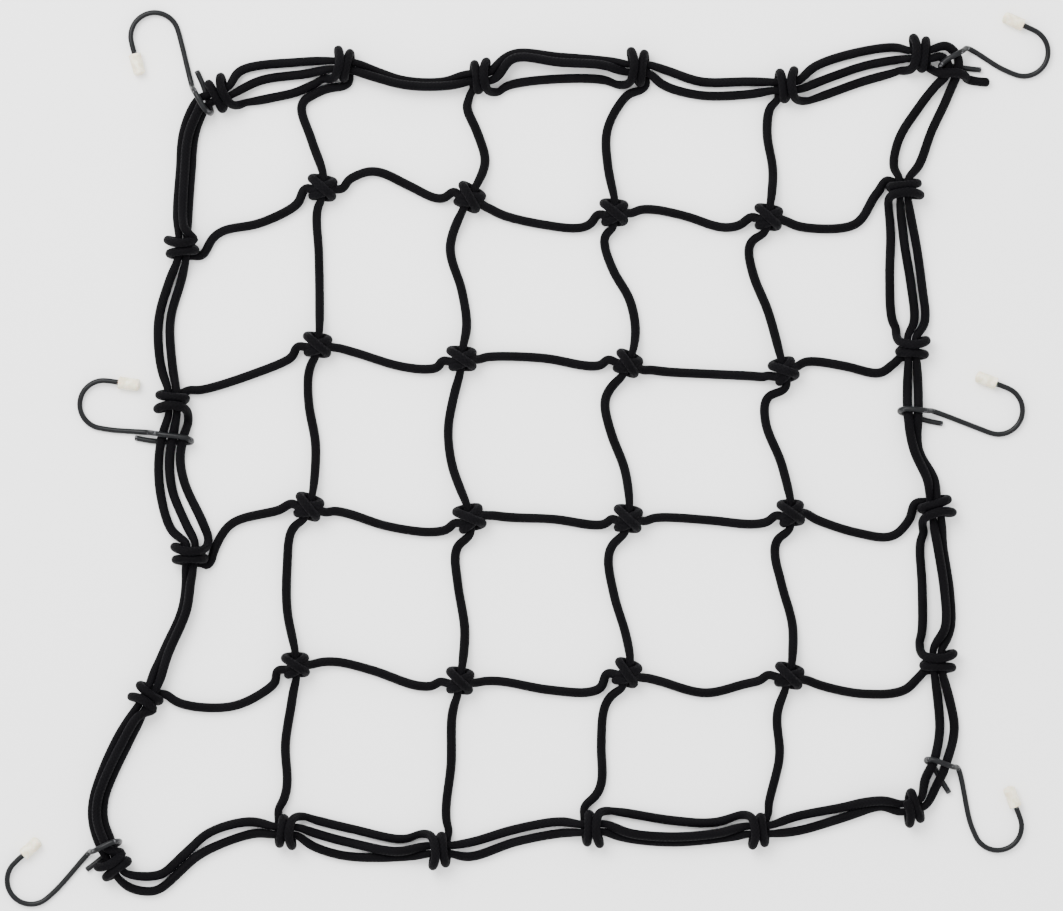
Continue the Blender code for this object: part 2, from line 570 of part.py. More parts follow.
def hook_route(centre, heading, side, eye, eye_way, half, over):
    """(the wire's route, its end, the way it points there). The wire goes from its cut end
    beside the shank, on the side that the shank leans to, under the strands, round their far
    side, back over them, down to the shank, and round the bend to the tip."""
    out, aside = flat(eye_way), left_of(flat(eye_way))
    along, turned = flat(heading), side * left_of(flat(heading))
    angles = np.linspace(0, math.pi, BEND_STEPS)
    bend = centre + BEND_R * (np.outer(np.sin(angles), along) - np.outer(np.cos(angles), turned))
    bend[:, 2] = np.linspace(WIRE_LOW, TIP_R, BEND_STEPS)
    shank = bend[0] - 8 * along
    aside = aside * math.copysign(1, (bend[0] - eye) @ aside)
    leans = (shank - eye) * (1, 1, 0) / np.linalg.norm((shank - eye)[:2])
    beside = left_of(leans) * math.copysign(1, left_of(leans) @ aside)
    cut_end = [eye + reach * leans + RETURN_ASIDE * beside + WIRE_LOW * UP
               for reach in (half + 5 + RETURN_END, half + 3)]
    far = half + GAP + WIRE_R
    crest = over + CORD_R + GAP + WIRE_R
    loop = (  # out from the eye's middle, to the side, height
        (3.5 - far, 2.6, WIRE_LOW), (0.9 - far, 2.2, WIRE_LOW + 1.3), (-far, 1.7, WIRE_LOW + 3.6),
        (-far, 1.0, crest - 3.0), (1.0 - far, 0.5, crest - 0.8), (3.2 - far, 0.0, crest),
        (far - 3.2, 0.0, crest), (far - 1.0, 0.0, crest - 0.9), (far + 0.6, 0.0, crest - 3.2),
        (far + 3.2, 0.0, WIRE_LOW + 1.2),
    )
    eye_turn = [*cut_end, *(eye + a * out + b * aside + h * UP for a, b, h in loop)]
    end = bend[-1] - LEG * along
    route = smooth(eye_turn[0] + leans, [*eye_turn, shank, *bend, end], end - along, 6)
    route[:, 2] = np.maximum(route[:, 2], WIRE_LOW)
    return dense(route, np.full(len(route), WIRE_R), np.full(len(route), False)), end, -along


def tip_mesh(end, way):
    """The moulded cap on a hook's end: a short round bar with softened ends."""
    build = bmesh.new()
    bmesh.ops.create_cone(build, cap_ends=True, segments=TIP_SIDES, radius1=TIP_R * MM,
                          radius2=TIP_R * MM, depth=TIP_LENGTH * MM)
    rims = [edge for edge in build.edges if edge.verts[0].co.z == edge.verts[1].co.z]
    bmesh.ops.bevel(build, geom=rims, offset=TIP_ROUND * MM, segments=1, affect="EDGES")
    middle = (end + (GAP + TIP_LENGTH / 2) * way) * MM
    turn = Matrix.Rotation(math.atan2(way[1], way[0]), 4, "Z") @ Matrix.Rotation(math.pi / 2, 4, "Y")
    build.transform(Matrix.Translation(middle) @ turn)
    mesh = bpy.data.meshes.new("tip")
    build.to_mesh(mesh)
    build.free()
    return mesh


def main():
    for obj in list(bpy.data.objects):
        bpy.data.objects.remove(obj)
    net = bpy.data.collections.new("cargo_net")
    bpy.context.scene.collection.children.link(net)

    routes, tips = all_routes()
    for name, (points, radii, kept) in routes.items():
        marks = thinned(points, kept)
        radius, sides, colour = CORD_R, CORD_SIDES, BLACK_CORD
        if name.startswith("hook"):
            radius, sides, colour = WIRE_R, WIRE_SIDES, BLACK_WIRE
        finish(name, tube(name, points[marks], radius, sides, radii[marks] / radius), colour, net)
    for name, (end, way) in tips.items():
        finish(name, tip_mesh(end, way), CREAM_PLASTIC, net)


main()
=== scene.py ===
import math

import bpy
import numpy as np
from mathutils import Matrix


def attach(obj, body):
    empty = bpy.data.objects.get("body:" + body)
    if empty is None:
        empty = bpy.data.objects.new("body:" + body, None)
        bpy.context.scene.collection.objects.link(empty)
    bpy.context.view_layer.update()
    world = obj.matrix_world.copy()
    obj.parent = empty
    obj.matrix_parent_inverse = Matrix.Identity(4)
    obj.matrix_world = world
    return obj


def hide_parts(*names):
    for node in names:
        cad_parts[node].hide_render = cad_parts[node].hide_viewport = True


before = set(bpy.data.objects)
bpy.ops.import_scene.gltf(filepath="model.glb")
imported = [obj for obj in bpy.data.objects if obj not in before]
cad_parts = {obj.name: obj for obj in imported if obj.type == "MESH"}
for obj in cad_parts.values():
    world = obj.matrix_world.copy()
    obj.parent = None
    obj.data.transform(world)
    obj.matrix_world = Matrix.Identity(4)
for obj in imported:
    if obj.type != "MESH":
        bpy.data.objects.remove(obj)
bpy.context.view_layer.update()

# Camera: straight above the net, far enough off that its knots show no sides.

SHOWN_WIDTH = 0.5421
CAMERA_PLACE = (0.0020, 0.0014, 3.0)
SENSOR_WIDTH = 36.0

camera = bpy.data.objects.new("camera", bpy.data.cameras.new("camera"))
camera.data.sensor_width = SENSOR_WIDTH
camera.data.lens = SENSOR_WIDTH * CAMERA_PLACE[2] / SHOWN_WIDTH
camera.location = CAMERA_PLACE
bpy.context.scene.collection.objects.link(camera)
bpy.context.scene.camera = camera

# Studio: a white sweep under the net, an even white room, and one broad soft light from the
# upper left that rounds the cords and puts a highlight on the wire.

FLOOR_HALF = 4.0
FLOOR_DROP = 0.0002
FLOOR_COLOUR = (0.93, 0.93, 0.93, 1)
ROOM_STRENGTH = 2.3
LIGHT_PLACE = (-0.7, 0.9, 1.6)
LIGHT_SIZE = 1.2
LIGHT_POWER = 60.0

floor_mesh = bpy.data.meshes.new("floor")
floor_mesh.from_pydata(
    [(x, y, -FLOOR_DROP) for x, y in ((-FLOOR_HALF, -FLOOR_HALF), (FLOOR_HALF, -FLOOR_HALF),
                                      (FLOOR_HALF, FLOOR_HALF), (-FLOOR_HALF, FLOOR_HALF))],
    [], [(0, 1, 2, 3)])
floor = bpy.data.objects.new("floor", floor_mesh)
floor_paint = bpy.data.materials.new("floor")
floor_paint.use_nodes = True
floor_paint.node_tree.nodes["Principled BSDF"].inputs["Base Color"].default_value = FLOOR_COLOUR
floor_paint.node_tree.nodes["Principled BSDF"].inputs["Roughness"].default_value = 0.9
floor_mesh.materials.append(floor_paint)
bpy.context.scene.collection.objects.link(floor)

room = bpy.data.worlds.new("room")
room.use_nodes = True
room.node_tree.nodes["Background"].inputs["Color"].default_value = (1, 1, 1, 1)
room.node_tree.nodes["Background"].inputs["Strength"].default_value = ROOM_STRENGTH
bpy.context.scene.world = room

light = bpy.data.objects.new("soft_light", bpy.data.lights.new("soft_light", "AREA"))
light.data.size = LIGHT_SIZE
light.data.energy = LIGHT_POWER
light.location = LIGHT_PLACE
aim = np.array(LIGHT_PLACE) / np.linalg.norm(LIGHT_PLACE)
light.rotation_euler = (math.acos(aim[2]), 0, math.atan2(aim[0], -aim[1]))
bpy.context.scene.collection.objects.link(light)

# How the cords lie. One elastic cord goes round the net twice as its border, one goes up and
# down it, and one goes to and fro and is hitched to the second wherever they cross. The
# places that each stretch passes are the same as in the CAD model, in millimetres, x and y
# from the net's middle and, off the surface, the height of the cord's middle.

MM = 0.001
CORD_R = 2.4
SQUEEZED_R = 1.9
WRAP_R = 2.25
WIRE_R = 1.4
LOW = CORD_R
WIRE_LOW = WIRE_R
EYE = 2 * WIRE_R + CORD_R + 0.2
HIGH = LOW + 4.6
TOP = EYE + 4.7
KNOT_Z = 2 * WRAP_R + SQUEEZED_R
STRAND_SPLIT = 2.0
HALF_KNOT = 5.0
MIDDLE = np.array([-0.5, -0.4, 0.0])

# Border knots, clockwise from the top left: name, x, y, and the way the border runs there.
BORDER_KNOTS = (
    ("TL", -157, 184.5, 20), ("T1", -94.5, 199.5, -5), ("T2", -24.5, 193.5, 0),
    ("T3", 55.5, 198, 0), ("T4", 131.5, 189, 0), ("TR", 199, 205, 0),
    ("R1", 191, 136.5, -90), ("R2", 195, 55.5, -86), ("R3", 207, -26, -80),
    ("R4", 208, -104, -85), ("BR", 195, -177.5, -168), ("B4", 117, -189.5, 180),
    ("B3", 32.5, -188.5, 184), ("B2", -45.5, -199.5, 180), ("B1", -123.5, -190, 180),
    ("BL", -210.5, -207.5, 118), ("L4", -194, -122, 62), ("L3", -172, -49.5, 84),
    ("L2", -181, 28.5, 92), ("L1", -176, 107, 88),
)

# Knots inside the net: name, x, y, and the way the long cord runs there.
NET_KNOTS = (
    ("V1H1", -105, 137.5, -100), ("V1H2", -107.5, 57.5, -100), ("V1H3", -112, -25, -110),
    ("V1H4", -118.5, -105.5, -90), ("V2H4", -35, -113.5, 80), ("V2H3", -30, -30.5, 100),
    ("V2H2", -34, 50.5, 85), ("V2H1", -30, 132.5, 60), ("V3H1", 43.5, 125, -95),
    ("V3H2", 50.5, 48, -115), ("V3H3", 50.5, -31, -100), ("V3H4", 50, -109.5, -110),
    ("V4H4", 132.5, -111, 75), ("V4H3", 133.5, -28, 90), ("V4H2", 130, 44.5, 105),
    ("V4H1", 122, 122.5, 80),
)

# The border, a row for each stretch: side, from, to, the outer and the inner strand's places.
BORDER = (
    ("top", "TL", "T1", ((-147, 197), (-116.5, 201.5)), ((-137, 192), (-113, 195.5))),
    ("top", "T1", "T2", ((-78.5, 197), (-63, 192), (-42.5, 191.5)),
     ((-80, 194, HIGH), (-63, 189.5, HIGH), (-42.5, 189, HIGH))),
    ("top", "T2", "T3", ((-8.5, 205.5), (16, 204), (39, 202)),
     ((-8.5, 203, HIGH), (16, 201, HIGH), (39, 199.5, HIGH))),
    ("top", "T3", "T4", ((71, 197), (87.5, 191.5), (112, 191.5)),
     ((69, 189.5), (87.5, 184.5), (112, 185))),
    ("top", "T4", "TR", ((145.5, 199), (164, 205.5), (186.5, 209)),
     ((152, 193), (171, 199.5), (187, 202.5))),
    ("right", "TR", "R1", ((213, 209.5, EYE), (219, 202, EYE), (214, 185), (205, 165.5), (199, 149)),
     ((209.5, 204.5, EYE), (213, 199, EYE), (200, 180), (189, 163), (186, 148.5))),
    ("right", "R1", "R2", ((197.5, 108.5), (200.5, 87), (202, 69)),
     ((191.5, 108.5), (195, 87), (196.5, 69))),
    ("right", "R2", "R3", ((198.5, 37), (198.5, 24.5, EYE), (198.5, 4), (206.5, -10.5)),
     ((193, 37), (193, 24.5, EYE), (196, 4, HIGH), (203, -11.5, HIGH))),
    ("right", "R3", "R4", ((211, -44.5), (214.5, -67.5), (215, -87)),
     ((208, -44.5, HIGH), (211.5, -67.5, HIGH), (212, -87, HIGH))),
    ("right", "R4", "BR", ((214.5, -123.5), (217, -139), (212.5, -156, EYE), (208, -167.5)),
     ((208.5, -123.5), (209.5, -139), (206.5, -154, EYE), (202, -164))),
    ("bottom", "BR", "B4", ((179.5, -177.5), (159, -184), (136, -190.5)),
     ((179.5, -174.5, HIGH), (159, -178.5), (136, -183))),
    ("bottom", "B4", "B3", ((97.5, -194), (73.5, -196), (50.5, -194)),
     ((97.5, -191, HIGH), (73.5, -193, HIGH), (50.5, -191, HIGH))),
    ("bottom", "B3", "B2", ((16, -191.5), (-7, -196), (-30, -203.5)),
     ((16, -185.5), (-7, -189.5), (-29, -196))),
    ("bottom", "B2", "B1", ((-66, -203.5), (-93.5, -203), (-110, -198)),
     ((-66, -200.5, HIGH), (-90, -196.5), (-107, -192))),
    ("bottom", "B1", "BL",
     ((-139.5, -191.5), (-163.5, -200), (-176, -208.5), (-189, -220.5), (-202.5, -219.5)),
     ((-142, -185.5), (-162.5, -191), (-173, -200), (-184, -211), (-194, -213.5))),
    ("left", "BL", "L4", ((-218, -198, EYE), (-222, -186), (-221.5, -173), (-209.5, -143)),
     ((-212.5, -195.5, EYE), (-216.5, -185), (-216, -173), (-204, -145.5))),
    ("left", "L4", "L3", ((-185.5, -98), (-176.5, -78), (-174.5, -64)),
     ((-183, -99, HIGH), (-174, -78, HIGH), (-172, -64, HIGH))),
    ("left", "L3", "L2", ((-182, -37), (-187.5, -19), (-188.5, -1), (-186.5, 11, EYE)),
     ((-174.5, -34), (-181.5, -17), (-183, -1), (-181, 11, EYE))),
    ("left", "L2", "L1", ((-187.5, 47), (-188.5, 70), (-183, 90)),
     ((-181.5, 47), (-182.5, 70), (-177, 90))),
    ("left", "L1", "TL", ((-179, 123.5), (-177.5, 145.5), (-175.5, 167), (-168, 182.5, EYE)),
     ((-173.5, 123.5), (-172, 145.5), (-170, 165.5), (-164.5, 178, EYE))),
)

# The long cord, a row for each stretch: the CAD piece, from, to, and the places it passes.
LONG_CORD = (
    ("long_cord_1", "TL", "T1", ((-143, 181), (-132, 183), (-112, 188))),
    ("long_cord_1", "T1", "V1H1", ((-115.5, 181), (-111, 163))),
    ("long_cord_1", "V1H1", "V1H2", ((-108, 123.5), (-107, 106), (-106.5, 82))),
    ("long_cord_1", "V1H2", "V1H3", ((-112, 43.5), (-112, 27), (-108.5, 6.5))),
    ("long_cord_1", "V1H3", "V1H4", ((-121, -37.5), (-123, -55), (-123, -78))),
    ("long_cord_1", "V1H4", "B1", ((-121, -126.5), (-124, -146.5), (-123, -167))),
    ("long_cord_2", "B1", "B2", ((-107.5, -185), (-89, -189.5), (-64, -194.5))),
    ("long_cord_2", "B2", "V2H4", ((-42, -177), (-39.5, -157), (-39, -131.5))),
    ("long_cord_2", "V2H4", "V2H3", ((-32.5, -88), (-36, -65), (-37, -47))),
    ("long_cord_2", "V2H3", "V2H2", ((-39, -4), (-41, 14), (-38.5, 29.5))),
    ("long_cord_2", "V2H2", "V2H1", ((-31.5, 67.5), (-34, 85), (-40, 107))),
    ("long_cord_2", "V2H1", "T2", ((-22, 150.5), (-26.5, 166.5), (-31.5, 179))),
    ("long_cord_3", "T2", "T3", ((-10.5, 189.5), (8.5, 192.5), (38, 192.5))),
    ("long_cord_3", "T3", "V3H1", ((49.5, 184), (40, 167), (40.5, 147.5))),
    ("long_cord_3", "V3H1", "V3H2", ((38.5, 111), (43, 95.5), (51.5, 80.5), (54.5, 65))),
    ("long_cord_3", "V3H2", "V3H3", ((39, 30), (42, 12.5), (49, -6))),
    ("long_cord_3", "V3H3", "V3H4", ((41, -48), (43.5, -70), (49.5, -90))),
    ("long_cord_3", "V3H4", "B3", ((39, -126), (37, -146.5), (37, -167))),
    ("long_cord_4", "B3", "B4", ((49, -181), (73.5, -185), (95, -186))),
    ("long_cord_4", "B4", "V4H4", ((124, -169.5), (128, -151.5), (126.5, -131.5))),
    ("long_cord_4", "V4H4", "V4H3", ((134.5, -85.5), (129, -65), (125.5, -44.5))),
    ("long_cord_4", "V4H3", "V4H2", ((128.5, -2), (121, 16.5), (121, 29.5))),
    ("long_cord_4", "V4H2", "V4H1", ((122, 74.5), (114.5, 93), (112.5, 108))),
    ("long_cord_4", "V4H1", "T4", ((124.5, 146.5), (121.5, 164.5), (123, 178))),
    ("long_cord_end", "T4", "TR", ((152, 185), (170, 191.5), (186, 196))),
    ("long_cord_end", "TR", None, ((218, 196.5, HIGH), (224, 192.5), (235, 191))),
)

# The cross cord, in the same way.
CROSS_CORD = (
    ("cross_cord_1", "BL", "L4", ((-215, -197, TOP), (-219.5, -185.5, HIGH),
                                  (-219, -173, HIGH), (-206.5, -144.5, HIGH))),
    ("cross_cord_1", "L4", "V1H4", ((-173, -126.5), (-149.5, -126.5), (-132, -117.5))),
    ("cross_cord_1", "V1H4", "V2H4", ((-98.5, -104), (-79.5, -108.5), (-55.5, -116.5))),
    ("cross_cord_1", "V2H4", "V3H4", ((-14.5, -114), (11, -118.5), (34, -119))),
    ("cross_cord_1", "V3H4", "V4H4", ((67, -114), (90, -120), (112, -115))),
    ("cross_cord_1", "V4H4", "R4", ((150, -116.5), (171.5, -120.5), (192, -118.5))),
    ("cross_cord_2", "R4", "R3", ((200.5, -88.5), (200.5, -65), (199.5, -44))),
    ("cross_cord_2", "R3", "V4H3", ((186, -40), (168, -38.5), (147.5, -32))),
    ("cross_cord_2", "V4H3", "V3H3", ((115.5, -34), (92.5, -32), (69.5, -30.5))),
    ("cross_cord_2", "V3H3", "V2H3", ((34, -34.5), (13.5, -31.5), (-10, -30.5))),
    ("cross_cord_2", "V2H3", "V1H3", ((-47.5, -38), (-72, -35), (-94, -28))),
    ("cross_cord_2", "V1H3", "L3", ((-134.5, -28.5), (-152, -34), (-162.5, -50))),
    ("cross_cord_3", "L3", "L2", ((-167, -31), (-175, -14), (-177.5, -1), (-175.5, 11, EYE))),
    ("cross_cord_3", "L2", "V1H2", ((-160, 36), (-139, 43), (-124, 49))),
    ("cross_cord_3", "V1H2", "V2H2", ((-88.5, 53.5), (-65.5, 46.5), (-50, 45))),
    ("cross_cord_3", "V2H2", "V3H2", ((-17, 51.5), (8.5, 50.5), (31.5, 46.5))),
    ("cross_cord_3", "V3H2", "V4H2", ((67, 44), (92.5, 42.5), (114, 41.5))),
    ("cross_cord_3", "V4H2", "R2", ((143, 49), (161.5, 46.5), (179.5, 43))),
    ("cross_cord_4", "R2", "R1", ((185, 71), (184, 92.5), (184.5, 114))),
    ("cross_cord_4", "R1", "V4H1", ((177, 134), (167, 119), (138.5, 117.5))),
    ("cross_cord_4", "V4H1", "V3H1", ((100, 117), (80, 123), (62, 126.5))),
    ("cross_cord_4", "V3H1", "V2H1", ((27, 117), (8.5, 118.5), (-14.5, 124))),
    ("cross_cord_4", "V2H1", "V1H1", ((-47, 132), (-61, 138.5), (-79.5, 146))),
    ("cross_cord_4", "V1H1", "L1", ((-120.5, 127), (-138, 119), (-157, 115))),
    ("cross_cord_end", "L1", "TL", ((-176, 123.5, HIGH), (-175, 145.5, HIGH),
                                    (-173, 164.5, HIGH), (-166, 180.5, TOP))),
)

# Stretches that lie on top of the border's two strands, not on their inner side.
ON_TOP = {("BL", "L4"), ("L1", "TL")}

# A hitch inside the net, from left to right round a cord that runs up: each place is to the
# right, along and above the surface. The middle crossing rides over the two others.
HITCH = (
    (-4.8, -3.0, 5.8), (-2.2, -1.4, 8.8), (1.0, 0.6, 9.8), (3.6, 2.2, 8.8), (5.2, 3.6, 6.0),
    (3.6, 4.2, 3.0), (-0.6, 4.4, 2.3), (-4.4, 4.2, 3.6), (-6.0, 3.6, 6.8), (-4.3, 2.6, 10.6),
    (-0.8, 0.4, 12.4), (3.0, -2.0, 11.4), (5.6, -3.5, 7.8), (4.8, -4.3, 4.2), (1.2, -4.6, 2.3),
    (-2.6, -4.8, 2.6), (-4.2, -5.2, 4.8), (-3.2, -4.6, 7.8), (-0.2, -3.4, 9.4),
    (3.2, -0.9, 8.8), (5.2, 0.5, 6.2),
)

# A hitch round the border's strands, for a cord that comes from inside the net: out from the
# net, onward along the border, and above the surface. A collar first, then a fuller turn.
BORDER_HITCH = (
    (-6.4, -3.6, 3.2), (-2.6, -3.9, 2.4), (2.6, -3.9, 2.4), (6.4, -3.6, 4.2), (6.9, -3.2, 7.4),
    (4.2, -2.6, 10.2), (-0.4, -1.9, 10.9), (-4.6, -1.6, 9.8), (-6.9, -1.4, 6.8),
    (-5.9, -0.4, 3.4), (-1.6, 1.2, 2.3), (3.6, 2.6, 2.5), (7.4, 3.4, 4.8), (8.2, 3.2, 8.2),
    (5.2, 2.0, 11.6), (0.6, 1.7, 13.0), (-3.8, 2.6, 11.4), (-6.6, 3.8, 8.0),
)
LEAVES_BESIDE = ((-7.6, 6.4, 4.6), (-7.4, 10.0, LOW))
LEAVES_ON_TOP = ((-3.6, 6.2, 10.4), (-0.6, 9.6, 10.0))
HITCH_VARIES = 0.09
HITCH_SEED = 5


def flat(degrees):
    """The unit vector that points this way on the surface."""
    turn = math.radians(degrees)
    return np.array([math.cos(turn), math.sin(turn), 0.0])


def left_of(way):
    """The way, turned a quarter turn to its left on the surface: (-y, x)."""
    return np.array([-way[1], way[0], 0.0])


KNOTS = {
    name: (np.array([x, y, KNOT_Z]), flat(way)) for name, x, y, way in BORDER_KNOTS + NET_KNOTS
}
IN_BORDER = {row[0] for row in BORDER_KNOTS}
pulls = np.random.default_rng(HITCH_SEED)
KNOT_SHAPE = {name: 1 + HITCH_VARIES * pulls.uniform(-1, 1, 3) for name in KNOTS}


def place(point):
    """A table's place, (x, y) or (x, y, height), as x, y, z."""
    return np.array([point[0], point[1], point[2] if len(point) > 2 else LOW], float)


def smooth(before, points, after, steps=12):
    """The centripetal Catmull-Rom curve through points: between two of them it is the blend
    of three straight lines, timed by the square root of the gaps."""
    chain = np.array([before, *points, after])
    gaps = np.sqrt(np.linalg.norm(np.diff(chain, axis=0), axis=1))
    knots = np.concatenate([[0], np.cumsum(np.maximum(gaps, 1e-3))])
    found = [chain[1]]
    for k in range(1, len(chain) - 2):
        t0, t1, t2, t3 = knots[k - 1:k + 3]
        p0, p1, p2, p3 = chain[k - 1:k + 3]
        t = np.linspace(t1, t2, steps + 1)[1:, None]
        a1 = (t1 - t) / (t1 - t0) * p0 + (t - t0) / (t1 - t0) * p1
        a2 = (t2 - t) / (t2 - t1) * p1 + (t - t1) / (t2 - t1) * p2
        a3 = (t3 - t) / (t3 - t2) * p2 + (t - t2) / (t3 - t2) * p3
        b1 = (t2 - t) / (t2 - t0) * a1 + (t - t0) / (t2 - t0) * a2
        b2 = (t3 - t) / (t3 - t1) * a2 + (t - t1) / (t3 - t1) * a3
        found.extend((t2 - t) / (t2 - t1) * b1 + (t - t1) / (t2 - t1) * b2)
    return np.array(found)


STEP = 1.2
KNOT_STEPS = 5
WIRE_STEPS = 8
UP = np.array([0, 0, 1.0])


def dense(points, radii, held):
    """The route with a point every STEP: (points, radii, which of them are held still)."""
    found, thick, keep = [], [], []
    for k, (start, end) in enumerate(zip(points[:-1], points[1:])):
        shares = np.arange(max(1, round(np.linalg.norm(end - start) / STEP)))
        shares = shares / len(shares)
        found.append(start + np.outer(shares, end - start))
        thick.append(radii[k] + shares * (radii[k + 1] - radii[k]))
        keep.append(np.full(len(shares), held[k] and held[k + 1]))
    ends = [points[-1:]], [radii[-1:]], [[held[-1]]]
    return tuple(np.concatenate([*parts, *last]) for parts, last in zip((found, thick, keep), ends))


def in_knot(knot, form, right, along):
    """A hitch's form set on a knot: its first measure goes to the right, its second along,
    and its third is the height. Each knot is pulled a little differently."""
    form = np.array(form) * KNOT_SHAPE[knot]
    form[:, 2] = np.maximum(form[:, 2], WRAP_R)
    middle = KNOTS[knot][0] * (1, 1, 0)
    return middle + np.outer(form[:, 0], right) + np.outer(form[:, 1], along) + form * (0, 0, 1)


def net_hitch(knot, came_from):
    """The hitch of the cross cord round the long cord. It is the same shape whichever way
    the cross cord goes."""
    middle, way = KNOTS[knot]
    up = way * math.copysign(1, way[1])
    right = -left_of(up)
    places = in_knot(knot, HITCH, right, up)
    return places[::-1] if (came_from - middle) @ right > 0 else places


def border_hitch(came, goes):
    """The hitch round the border's strands between two rows of a cord's table. A cord that
    came along the border makes it the other way round."""
    knot = goes[1]
    middle, way = KNOTS[knot]
    if came is None or came[1] not in IN_BORDER:
        onward = way * math.copysign(1, (place(goes[3][0]) - middle) @ way)
        last = LEAVES_ON_TOP if goes[1:3] in ON_TOP else LEAVES_BESIDE
        places = in_knot(knot, (*BORDER_HITCH, *last), left_of(way), onward)
        return places[2:] if came is None else places
    onward = way * math.copysign(1, (middle - place(came[3][-1])) @ way)
    first = LEAVES_ON_TOP if came[1:3] in ON_TOP else LEAVES_BESIDE
    return in_knot(knot, (*BORDER_HITCH, *first), left_of(way), -onward)[::-1]


def at_knot(came, goes, crosses):
    """A cord's places at the knot between two rows of its table."""
    knot = goes[1]
    middle, way = KNOTS[knot]
    if knot in IN_BORDER:
        return border_hitch(came, goes)
    if crosses:
        return net_hitch(knot, place(came[3][-1]))
    return np.array([middle - HALF_KNOT * way, middle, middle + HALF_KNOT * way])


def cord_route(table, crosses):
    """(points, radii, held) of the long or the cross cord, from its first knot to its end.
    The long cord passes straight through the hitches that the cross cord ties on it."""
    points, radii, held = [], [], []
    for came, row, goes in zip([None, *table], table, [*table[1:], None]):
        if not points:
            head = at_knot(came, row, crosses)
            found = smooth(2 * head[0] - head[1], head, 2 * head[-1] - head[-2], KNOT_STEPS)
            points, radii, held = list(found), [WRAP_R] * len(found), [True] * len(found)
        via = [place(p) for p in row[3]]
        foot = [via.pop()] if goes is None else at_knot(row, goes, crosses)
        after = 2 * foot[0] - via[-1] if goes is None else foot[1]
        free = smooth(points[-2], [points[-1], *via, foot[0]], after)[1:-1]
        points += list(free)
        radii += [CORD_R] * len(free)
        held += [False] * len(free)
        if goes is None:
            points.append(foot[0])
            radii.append(CORD_R)
            held.append(False)
            break
        knot_r = WRAP_R if crosses or row[2] in IN_BORDER else SQUEEZED_R
        tied = smooth(free[-1], list(foot), 2 * foot[-1] - foot[-2], KNOT_STEPS)
        points += list(tied)
        radii += [knot_r] * len(tied)
        held += [True] * len(tied)
    return dense(points, np.array(radii), np.array(held))


def border_route(which, outward):
    """(points, radii, held) of one turn of the border cord."""
    points, radii, held = [], [], []
    for row in BORDER:
        (begin, leave), (stop, arrive) = KNOTS[row[1]], KNOTS[row[2]]
        begin = begin + outward * STRAND_SPLIT * left_of(leave)
        stop = stop + outward * STRAND_SPLIT * left_of(arrive)
        through = [begin + HALF_KNOT * leave, *map(place, row[which]), stop - HALF_KNOT * arrive]
        if not points:
            points, radii, held = [begin + leave], [SQUEEZED_R], [True]
        found = smooth(begin, through, stop)
        points += list(found)
        radii += [SQUEEZED_R, *[CORD_R] * (len(found) - 2), SQUEEZED_R]
        held += [True, *[False] * (len(found) - 2), True]
    points.append(stop - arrive)
    return dense(points, np.array([*radii, SQUEEZED_R]), np.array([*held, True]))


# Where the wire of the hooks runs: middle of the bend, the way the shank runs from the eye,
# the side that the bend turns to, middle of the eye, the way the eye points, half its inner
# width and its height. The cords lie round it, so it comes before they are laid.
TWO, THREE = 5.2, 8.1
HOOKS = (
    ("left_top", -190.5, 214.5, 105, 1, -166.5, 180.5, 120, TWO, TOP),
    ("right_top", 252.5, 206.5, -24, 1, 215, 203.5, 30, TWO, EYE),
    ("left_middle", -216.5, 27, 172, -1, -181, 11, 172, THREE, EYE),
    ("right_middle", 239.5, 24, -21, 1, 196, 24.5, -5, TWO, EYE),
    ("left_bottom", -253.5, -215.5, 223, -1, -215, -197, 206, TWO, TOP + 0.6),
    ("right_bottom", 239, -188, -69, 1, 209.5, -155, -20, TWO, EYE),
)
BEND_R = 12.2
BEND_STEPS = 13
LEG = 6.5
TIP_R = 3.1
TIP_LENGTH = 11.3
SHANK_BACK = 8.0
CUT_END_FAR, CUT_END_ASIDE = 11.5, 2.9
CUT_END_NEAR, CUT_END_SPREAD = 3.0, 3.6
WIRE_GAP = 0.25


